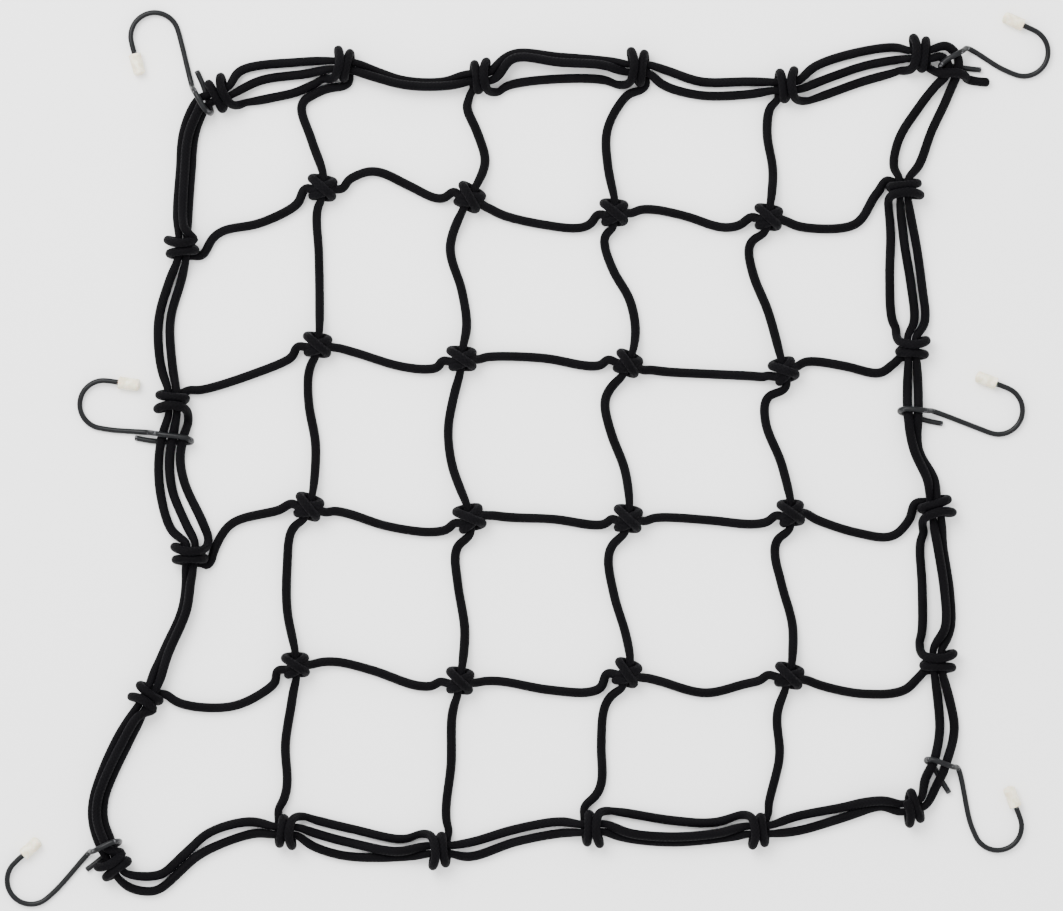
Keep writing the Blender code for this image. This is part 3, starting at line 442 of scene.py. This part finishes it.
def hook_route(centre, heading, side, eye, eye_way, half, over):
    """(the wire's route, its end, the way it points there). The wire goes from its cut end
    beside the shank, on the side that the shank leans to, under the strands, round their far
    side, back over them, down to the shank, and round a half circle to the tip."""
    out, aside = flat(eye_way), left_of(flat(eye_way))
    along, turned = flat(heading), side * left_of(flat(heading))
    angles = np.linspace(0, math.pi, BEND_STEPS)
    bend = centre + BEND_R * (np.outer(np.sin(angles), along) - np.outer(np.cos(angles), turned))
    bend[:, 2] = np.linspace(WIRE_LOW, TIP_R, BEND_STEPS)
    shank = bend[0] - SHANK_BACK * along
    aside = aside * math.copysign(1, (bend[0] - eye) @ aside)
    leans = (shank - eye) * (1, 1, 0) / np.linalg.norm((shank - eye)[:2])
    beside = left_of(leans) * math.copysign(1, left_of(leans) @ aside)
    cut_end = [eye + (half + reach) * leans + gap * beside + WIRE_LOW * UP
               for reach, gap in ((CUT_END_FAR, CUT_END_ASIDE), (CUT_END_NEAR, CUT_END_SPREAD))]
    far = half + WIRE_GAP + WIRE_R
    crest = over + CORD_R + WIRE_GAP + WIRE_R
    loop = (  # out from the eye's middle, to the side, height
        (3.5 - far, 2.6, WIRE_LOW), (0.9 - far, 2.2, WIRE_LOW + 1.3), (-far, 1.7, WIRE_LOW + 3.6),
        (-far, 1.0, crest - 3.0), (1.0 - far, 0.5, crest - 0.8), (3.2 - far, 0.0, crest),
        (far - 3.2, 0.0, crest), (far - 1.0, 0.0, crest - 0.9), (far + 0.6, 0.0, crest - 3.2),
        (far + 3.2, 0.0, WIRE_LOW + 1.2),
    )
    eye_turn = [*cut_end, *(eye + a * out + b * aside + h * UP for a, b, h in loop)]
    end = bend[-1] - LEG * along
    route = smooth(eye_turn[0] + leans, [*eye_turn, shank, *bend, end], end - along, WIRE_STEPS)
    route[:, 2] = np.maximum(route[:, 2], WIRE_LOW)
    return dense(route, np.full(len(route), WIRE_R), np.full(len(route), True)), end, -along


# The cords are laid by letting every free stretch give way, a little each round, until no
# two lie in each other. The knots and the wires stay where they are.

NEAR = 11.0
TOUCH = 0.05
OWN_LENGTH = 12
EASE = 9.0
ROUNDS = 90
ROUNDS_A_SEARCH = 15
SOFTENINGS = 8
BLOCK = 500


def close_pairs(places, cord, along):
    """The pairs of points nearer than NEAR, on two cords or far apart along one."""
    found = []
    for k in range(0, len(places), BLOCK):
        gaps = np.linalg.norm(places[k:k + BLOCK, None] - places[None], axis=2)
        same = cord[k:k + BLOCK, None] == cord[None]
        own = same & (np.abs(along[k:k + BLOCK, None] - along[None]) < OWN_LENGTH)
        one, other = np.nonzero((gaps < NEAR) & ~own)
        ahead = one + k < other
        found.append(np.column_stack([one[ahead] + k, other[ahead]]))
    return np.concatenate(found)


def freedom(points, held):
    """How free each point is to move, from 0 in a knot to 1 at EASE or more from one."""
    along = np.cumsum([0, *np.linalg.norm(np.diff(points, axis=0), axis=1)])
    if not held.any():
        return np.ones(len(points))
    return np.minimum(np.abs(along[:, None] - along[held][None]).min(axis=1) / EASE, 1)


def spread_apart(routes):
    """The routes, by name, as (points, radii), with no two cords in each other: each round
    moves a pair that is too near by half of what it lacks, smooths the moves along the
    cords, and lifts what would sink. A cord thins smoothly into its knots."""
    names = list(routes)
    sizes = [len(routes[name][0]) for name in names]
    places = np.concatenate([routes[name][0] for name in names])
    free = [freedom(points, held) for points, _, held in routes.values()]
    radii = np.concatenate([
        np.where(share > 0, np.minimum(radii, radii.min() + share * (radii.max() - radii.min())),
                 radii)
        for share, (_, radii, _) in zip(free, routes.values())
    ])
    free = np.concatenate(free)[:, None]
    cord = np.repeat(np.arange(len(names)), sizes)
    along = np.cumsum([0, *np.linalg.norm(np.diff(places, axis=0), axis=1)])
    for turn in range(ROUNDS):
        if turn % ROUNDS_A_SEARCH == 0:
            one, other = close_pairs(places, cord, along).T
            one, other = np.array([one, other])[:, ((free[one] + free[other]) > 0)[:, 0]]
            half = 1 / ((free[one] > 0) * 1.0 + (free[other] > 0))
        apart = places[one] - places[other]
        gaps = np.maximum(np.linalg.norm(apart, axis=1), 1e-6)
        short = np.maximum(radii[one] + radii[other] + TOUCH - gaps, 0)
        push = apart * (short / gaps)[:, None] * half
        move, count = np.zeros_like(places), np.zeros(len(places))
        np.add.at(move, one, push)
        np.add.at(move, other, -push)
        np.add.at(count, one, short > 0)
        np.add.at(count, other, short > 0)
        move /= np.maximum(count, 1)[:, None]
        for _ in range(SOFTENINGS):
            step = np.where((cord[1:] == cord[:-1])[:, None], move[1:] - move[:-1], 0) / 4
            move[:-1] += step
            move[1:] -= step
        places = places + move * free
        places[:, 2] = np.maximum(places[:, 2], radii)
    ends = np.cumsum(sizes)[:-1]
    return dict(zip(names, zip(np.split(places, ends), np.split(radii, ends))))


routes = {
    "border_outer": border_route(3, 1),
    "border_inner": border_route(4, -1),
    "long_cord": cord_route(LONG_CORD, False),
    "cross_cord": cord_route(CROSS_CORD, True),
}
ring = in_knot("BR", BORDER_HITCH[1:-1], left_of(KNOTS["BR"][1]), KNOTS["BR"][1])
ring = smooth(2 * ring[0] - ring[1], ring, 2 * ring[-1] - ring[-2], KNOT_STEPS)
routes["corner_hitch"] = dense(ring, np.full(len(ring), WRAP_R), np.full(len(ring), True))
wires = {}
for name, bend_x, bend_y, heading, side, eye_x, eye_y, eye_way, half, over in HOOKS:
    bend, eye = np.array([bend_x, bend_y, 0.0]), np.array([eye_x, eye_y, 0.0])
    wires[name] = hook_route(bend, heading, side, eye, eye_way, half, over)
    routes[f"hook_{name}"] = wires[name][0]
laid = spread_apart(routes)

# The cords: four lengths of black elastic cord, a rubber core in a sleeve of 16 braided
# strands. Each is a tube round its route, rounded where its end was sealed with heat.

CORD_SIDES = 20
RING_STEP = 1.0
END_ROUND = 0.8  # of the radius
CORD_EASING = 6
UNEVEN = 0.03
UNEVEN_EVERY = 17.0
CORD_SEED = 11
PLAITS = 8  # strands that run each way round the cord


def tube_mesh(name, path, radii, sides, lengthwise):
    """A closed tube in metres on a path in millimetres: at each point of the path a circle
    square to it, turned by no more than the path itself turns. u goes once round, and v
    along, by one for each lengthwise."""
    ways = np.gradient(path, axis=0)
    ways /= np.linalg.norm(ways, axis=1)[:, None]
    across = np.empty_like(path)
    across[0] = np.cross(ways[0], [0.3, 0.2, 1.0])
    for k in range(1, len(path)):
        across[k] = across[k - 1] - (across[k - 1] @ ways[k]) * ways[k]
        across[k] /= np.linalg.norm(across[k])
    across[0] /= np.linalg.norm(across[0])
    other = np.cross(ways, across)
    angles = np.linspace(0, 2 * math.pi, sides, endpoint=False)[None, :, None]
    rings = across[:, None] * np.cos(angles) + other[:, None] * np.sin(angles)
    points = (path[:, None] + radii[:, None, None] * rings - MIDDLE) * MM
    ring, spoke = np.meshgrid(np.arange(len(path) - 1), np.arange(sides), indexing="ij")
    after = (spoke + 1) % sides
    quads = np.stack([ring * sides + spoke, ring * sides + after,
                      (ring + 1) * sides + after, (ring + 1) * sides + spoke], axis=-1)
    caps = [list(range(sides))[::-1], list(range((len(path) - 1) * sides, len(path) * sides))]
    mesh = bpy.data.meshes.new(name)
    mesh.from_pydata(points.reshape(-1, 3), [], quads.reshape(-1, 4).tolist() + caps)
    along = np.cumsum([0, *np.linalg.norm(np.diff(path, axis=0), axis=1)]) / lengthwise
    u = np.stack([spoke, spoke + 1, spoke + 1, spoke], axis=-1) / sides
    v = along[np.stack([ring, ring, ring + 1, ring + 1], axis=-1)]
    flat_ends = np.zeros((2 * sides, 2))
    flat_ends[sides:, 1] = along[-1]
    layer = mesh.uv_layers.new(name="lay")
    layer.data.foreach_set("uv", np.concatenate([
        np.stack([u, v], axis=-1).reshape(-1, 2), flat_ends]).ravel())
    mesh.shade_smooth()
    return mesh


def rounded(path, radii, step, end_round, softenings):
    """The path, softened and with a point every step and closer at its ends, and its radii,
    which draw in there as an ellipse does."""
    for _ in range(softenings):
        path = np.concatenate([path[:1], (path[:-2] + 2 * path[1:-1] + path[2:]) / 4, path[-1:]])
        radii = np.concatenate([radii[:1], (radii[:-2] + 2 * radii[1:-1] + radii[2:]) / 4,
                                radii[-1:]])
    along = np.cumsum([0, *np.linalg.norm(np.diff(path, axis=0), axis=1)])
    reach = end_round * radii[0]
    near_end = reach * (1 - np.cos(np.linspace(0, math.pi / 2, 7)))
    middle = np.linspace(reach, along[-1] - reach, round((along[-1] - 2 * reach) / step))
    at = np.concatenate([near_end[:-1], middle, along[-1] - near_end[-2::-1]])
    thick = np.interp(at, along, radii)
    inward = 1 - np.minimum(np.minimum(at, along[-1] - at) / reach, 1)
    path = np.column_stack([np.interp(at, along, axis) for axis in path.T])
    return path, thick * np.maximum(np.sqrt(1 - inward ** 2), 0.02)


class Shade:
    """A socket of a material's nodes. Maths on it adds Math nodes, and node() any other."""

    def __init__(self, tree, socket=None):
        self.tree = tree
        self.socket = socket

    def node(self, kind, settings, values, output=0):
        """A new node of this kind: its settings are made first, then its sockets get numbers,
        colours or other sockets. It gives the output that is asked for."""
        made = self.tree.nodes.new("ShaderNode" + kind)
        for name, setting in settings.items():
            setattr(made, name, setting)
        for name, value in values.items():
            if isinstance(value, Shade):
                self.tree.links.new(value.socket, made.inputs[name])
            else:
                made.inputs[name].default_value = value
        return Shade(self.tree, made.outputs[output])

    def maths(self, operation, *others):
        return self.node("Math", {"operation": operation}, dict(enumerate((self, *others))))

    def __add__(self, other):
        return self.maths("ADD", other)

    def __mul__(self, other):
        return self.maths("MULTIPLY", other)

    def __sub__(self, other):
        return self.maths("SUBTRACT", other)

    def __rsub__(self, other):
        return self.node("Math", {"operation": "SUBTRACT"}, {0: other, 1: self})

    __radd__ = __add__
    __rmul__ = __mul__

    def between(self, low, high):
        """0 below low and 1 above high, with a soft rise."""
        return self.node("MapRange", {"interpolation_type": "SMOOTHSTEP"},
                         {"Value": self, "From Min": low, "From Max": high})

    def noise(self, where, scale, detail):
        return self.node("TexNoise", {}, {"Vector": where, "Scale": scale, "Detail": detail})

    def mix(self, share, one, other):
        """One colour where share is 0, going over to the other where it is 1."""
        return self.node("Mix", {"data_type": "RGBA"}, {0: share, 6: one, 7: other}, 2)


def new_material(name, constants):
    """(a start for its nodes, its shader) of a new material, whose constants are set."""
    material = bpy.data.materials.new(name)
    material.use_nodes = True
    shader = material.node_tree.nodes["Principled BSDF"]
    for socket, value in constants.items():
        shader.inputs[socket].default_value = value
    return Shade(material.node_tree), shader, material


def braided_sleeve():
    """Two sets of strands wind round the cord, each over and under the other by turns. A
    strand's height is a half sine across it, with the ridges of its three yarns on top."""
    start, shader, material = new_material("braided_sleeve", {
        "Specular IOR Level": 0.04, "Sheen Weight": 0.012, "Sheen Roughness": 0.45,
        "Sheen Tint": (0.75, 0.74, 0.85, 1),
    })
    uv = start.node("UVMap", {"uv_map": "lay"}, {})
    u = start.node("SeparateXYZ", {}, {"Vector": uv}, 0)
    v = start.node("SeparateXYZ", {}, {"Vector": uv}, 1)
    one, other = PLAITS * (u + v), PLAITS * (u - v)
    over = (0.5 * (one.maths("FLOOR") + other.maths("FLOOR"))).maths("FRACT") * 2
    across = over * one + (1 - over) * other
    crown = (math.pi * across.maths("FRACT")).maths("SINE")
    yarns = (6 * math.pi * across).maths("SINE")
    where = start.node("TexCoord", {}, {}, "Object")
    patches = start.noise(where, 55, 3)
    fuzz = start.noise(where, 1400, 2)
    height = crown + 0.16 * yarns + 0.35 * fuzz
    colour = start.mix(patches.between(0.35, 0.7), (0.0012, 0.0010, 0.0015, 1),
                       (0.0024, 0.0022, 0.0029, 1))
    # Painted shade: the colour goes nearly black towards each strand's edges, in the grooves between
    # the strands.
    colour = start.mix((1 - crown).between(0.45, 1.0), colour, (0.0004, 0.0004, 0.0005, 1))
    colour = start.mix(fuzz.between(0.62, 0.78) * 0.35, colour, (0.009, 0.0085, 0.0098, 1))
    bump = start.node("Bump", {}, {"Height": height, "Strength": 0.7, "Distance": 0.00022})
    rough = 0.52 + 0.2 * patches + 0.12 * (1 - crown)
    tree = material.node_tree
    tree.links.new(colour.socket, shader.inputs["Base Color"])
    tree.links.new(rough.socket, shader.inputs["Roughness"])
    tree.links.new(bump.socket, shader.inputs["Normal"])
    return material


sleeve = braided_sleeve()
unevenness = np.random.default_rng(CORD_SEED)


def make_cord(name, nodes):
    """One length of cord as a piece of the object: its tube and its sleeve, in place of the CAD
    pieces that it hides.
    """
    path, radii = rounded(*laid[name], RING_STEP, END_ROUND, CORD_EASING)
    along = np.cumsum([0, *np.linalg.norm(np.diff(path, axis=0), axis=1)])
    marks = np.arange(0, along[-1] + UNEVEN_EVERY, UNEVEN_EVERY)
    radii = radii * (1 + UNEVEN * np.interp(along, marks, unevenness.uniform(-1, 1, len(marks))))
    path[:, 2] = np.maximum(path[:, 2], radii)
    mesh = tube_mesh(name, path, radii, CORD_SIDES, 2 * math.pi * CORD_R)
    mesh.materials.append(sleeve)
    cord = bpy.data.objects.new(name, mesh)
    bpy.context.scene.collection.objects.link(cord)
    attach(cord, "root")
    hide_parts(*nodes)
    lay = (path - MIDDLE) * MM


SIDES = ("top", "right", "bottom", "left")
make_cord("border_outer", [f"border_{side}_outer" for side in SIDES])
make_cord("border_inner", [f"border_{side}_inner" for side in SIDES])
make_cord("long_cord", list(dict.fromkeys(row[0] for row in LONG_CORD)))
make_cord("cross_cord", list(dict.fromkeys(row[0] for row in CROSS_CORD)))
make_cord("corner_hitch", ["corner_knot"])

# The hooks: 2.8 mm steel wire bent to an eye, a shank and an open bend, then dipped in black
# paint, which is worn thin inside the bend and on the crown of the eye. The lighter steel where
# the wire bends most is also a painted highlight.

WIRE_SIDES = 16
WIRE_STEP = 0.8
CUT_ROUND = 0.35
WIRE_EASING = 2
WEAR_AND_HIGHLIGHT_GAIN = 2.2


def black_paint():
    """Thick glossy paint with fine waves in it, and lighter unpainted steel where the wire bends
    most and a coarse noise lets it through: partly wear, partly a painted highlight on the bends."""
    start, shader, material = new_material("black_paint", {
        "Coat Roughness": 0.12, "Specular IOR Level": 0.1,
    })
    where = start.node("TexCoord", {}, {}, "Object")
    wear_and_highlight = start.node("Attribute", {"attribute_name": "bend_wear_and_highlight"}, {}, "Fac")
    waves = start.noise(where, 260, 2)
    specks = start.noise(where, 900, 4)
    # Wear and a painted highlight: where the wire bends most, the paint turns to lighter steel.
    bare_steel_and_highlight = (wear_and_highlight + 0.9 * specks).between(1.42, 1.6)
    colour = start.mix(waves.between(0.3, 0.75), (0.0026, 0.0029, 0.0035, 1),
                       (0.0046, 0.0050, 0.0058, 1))
    colour = start.mix(bare_steel_and_highlight, colour, (0.11, 0.11, 0.115, 1))
    tree = material.node_tree
    bump = start.node("Bump", {}, {
        "Height": waves + 0.35 * specks - 0.5 * bare_steel_and_highlight, "Strength": 0.35, "Distance": 0.00012})
    tree.links.new(colour.socket, shader.inputs["Base Color"])
    tree.links.new((0.6 * bare_steel_and_highlight).socket, shader.inputs["Metallic"])
    tree.links.new((0.30 + 0.22 * waves).socket, shader.inputs["Roughness"])
    tree.links.new((0.10 - 0.08 * bare_steel_and_highlight).socket, shader.inputs["Coat Weight"])
    tree.links.new(bump.socket, shader.inputs["Normal"])
    return material


paint = black_paint()
for name in wires:
    path, radii = rounded(*laid[f"hook_{name}"], WIRE_STEP, CUT_ROUND, WIRE_EASING)
    mesh = tube_mesh(f"hook_{name}", path, radii, WIRE_SIDES, 2 * math.pi * WIRE_R)
    # How sharply the wire bends drives both its wear and the painted highlight on its tight bends.
    turning = np.linalg.norm(np.gradient(np.gradient(path, axis=0), axis=0), axis=1)
    bend_wear_and_highlight = np.clip(turning / turning.max() * WEAR_AND_HIGHLIGHT_GAIN, 0, 1)
    mesh.attributes.new("bend_wear_and_highlight", "FLOAT", "POINT").data.foreach_set(
        "value", np.repeat(bend_wear_and_highlight, WIRE_SIDES))
    mesh.materials.append(paint)
    hook = bpy.data.objects.new(f"wire_{name}", mesh)
    bpy.context.scene.collection.objects.link(hook)
    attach(hook, "root")
    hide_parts(f"hook_{name}")

# The tips: cream plastic caps moulded onto the wire's ends, with a rolled lip at the mouth, a
# domed end, and the faint line of the mould on two sides.

TIP_ROUND = 1.5
LIP = 0.16
SEAM = 0.06
SEAM_SPREAD = 0.07
TIP_SIDES = 48
TIP_OVERLAP = 0.6
MOUTH_R = 1.38
MOUTH_DEEP = 1.2


def tip_mesh(name, end, way):
    """A profile of distance along and radius, carried round the wire's line: the bore's rim,
    a rolled lip, a slightly tapered side with a soft ring of squeeze, and a dome that is a
    quarter ellipse. The radius rises by SEAM at two opposite lines."""
    dome = np.linspace(0, math.pi / 2, 9)[1:]
    side = np.linspace(1.6, TIP_LENGTH - TIP_ROUND, 12)
    along = np.concatenate([
        [MOUTH_DEEP, 0.1, 0.0, 0.05, 0.3, 0.7, 1.1], side,
        TIP_LENGTH - TIP_ROUND + TIP_ROUND * np.sin(dome)])
    taper = TIP_R - 0.10 * (side / TIP_LENGTH)
    out = np.concatenate([
        [MOUTH_R, MOUTH_R, 1.7, TIP_R - 0.3, TIP_R + LIP * 0.4, TIP_R + LIP * 0.5, TIP_R - 0.02],
        taper, taper[-1] * (1 - 0.995 * (1 - np.cos(dome)))])
    angles = np.linspace(0, 2 * math.pi, TIP_SIDES, endpoint=False)
    seam = SEAM * np.exp(-(np.minimum(abs(angles - math.pi / 2), abs(angles - 1.5 * math.pi))
                           / SEAM_SPREAD) ** 2)
    reach = out[:, None] + seam * (out > TIP_R * 0.5)[:, None]
    aside = left_of(way)
    start = end - TIP_OVERLAP * way
    points = (start + along[:, None, None] * way
              + reach[..., None] * (np.cos(angles)[:, None] * UP
                                    + np.sin(angles)[:, None] * aside))
    points[..., 2] = np.maximum(points[..., 2], 0)
    ring, spoke = np.meshgrid(np.arange(len(along) - 1), np.arange(TIP_SIDES), indexing="ij")
    after = (spoke + 1) % TIP_SIDES
    quads = np.stack([ring * TIP_SIDES + spoke, (ring + 1) * TIP_SIDES + spoke,
                      (ring + 1) * TIP_SIDES + after, ring * TIP_SIDES + after], axis=-1)
    last = (len(along) - 1) * TIP_SIDES
    mesh = bpy.data.meshes.new(name)
    mesh.from_pydata(((points - MIDDLE) * MM).reshape(-1, 3), [],
                     quads.reshape(-1, 4).tolist()
                     + [list(range(TIP_SIDES)), list(range(last, last + TIP_SIDES))[::-1]])
    mesh.shade_smooth()
    return mesh


def cream_plastic():
    """Soft plastic, cloudy inside and a little soiled in the hollows of a fine grain."""
    start, shader, material = new_material("cream_plastic", {
        "Specular IOR Level": 0.45, "Subsurface Weight": 0.25, "Subsurface Scale": 0.002,
        "Coat Roughness": 0.3,
    })
    where = start.node("TexCoord", {}, {}, "Object")
    clouds = start.noise(where, 320, 3)
    grain = start.noise(where, 1500, 2)
    colour = start.mix(clouds.between(0.32, 0.7), (0.66, 0.60, 0.42, 1), (0.84, 0.80, 0.64, 1))
    colour = start.mix(grain.between(0.66, 0.8) * 0.25, colour, (0.52, 0.49, 0.38, 1))
    bump = start.node("Bump", {}, {
        "Height": clouds + 0.3 * grain, "Strength": 0.25, "Distance": 0.0002})
    tree = material.node_tree
    tree.links.new(colour.socket, shader.inputs["Base Color"])
    tree.links.new((0.36 + 0.2 * clouds).socket, shader.inputs["Roughness"])
    tree.links.new(bump.socket, shader.inputs["Normal"])
    return material


plastic = cream_plastic()
for name, (_, end, way) in wires.items():
    mesh = tip_mesh(f"cap_{name}", end, way)
    mesh.materials.append(plastic)
    cap = bpy.data.objects.new(f"cap_{name}", mesh)
    bpy.context.scene.collection.objects.link(cap)
    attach(cap, "root")
    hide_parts(f"tip_{name}")
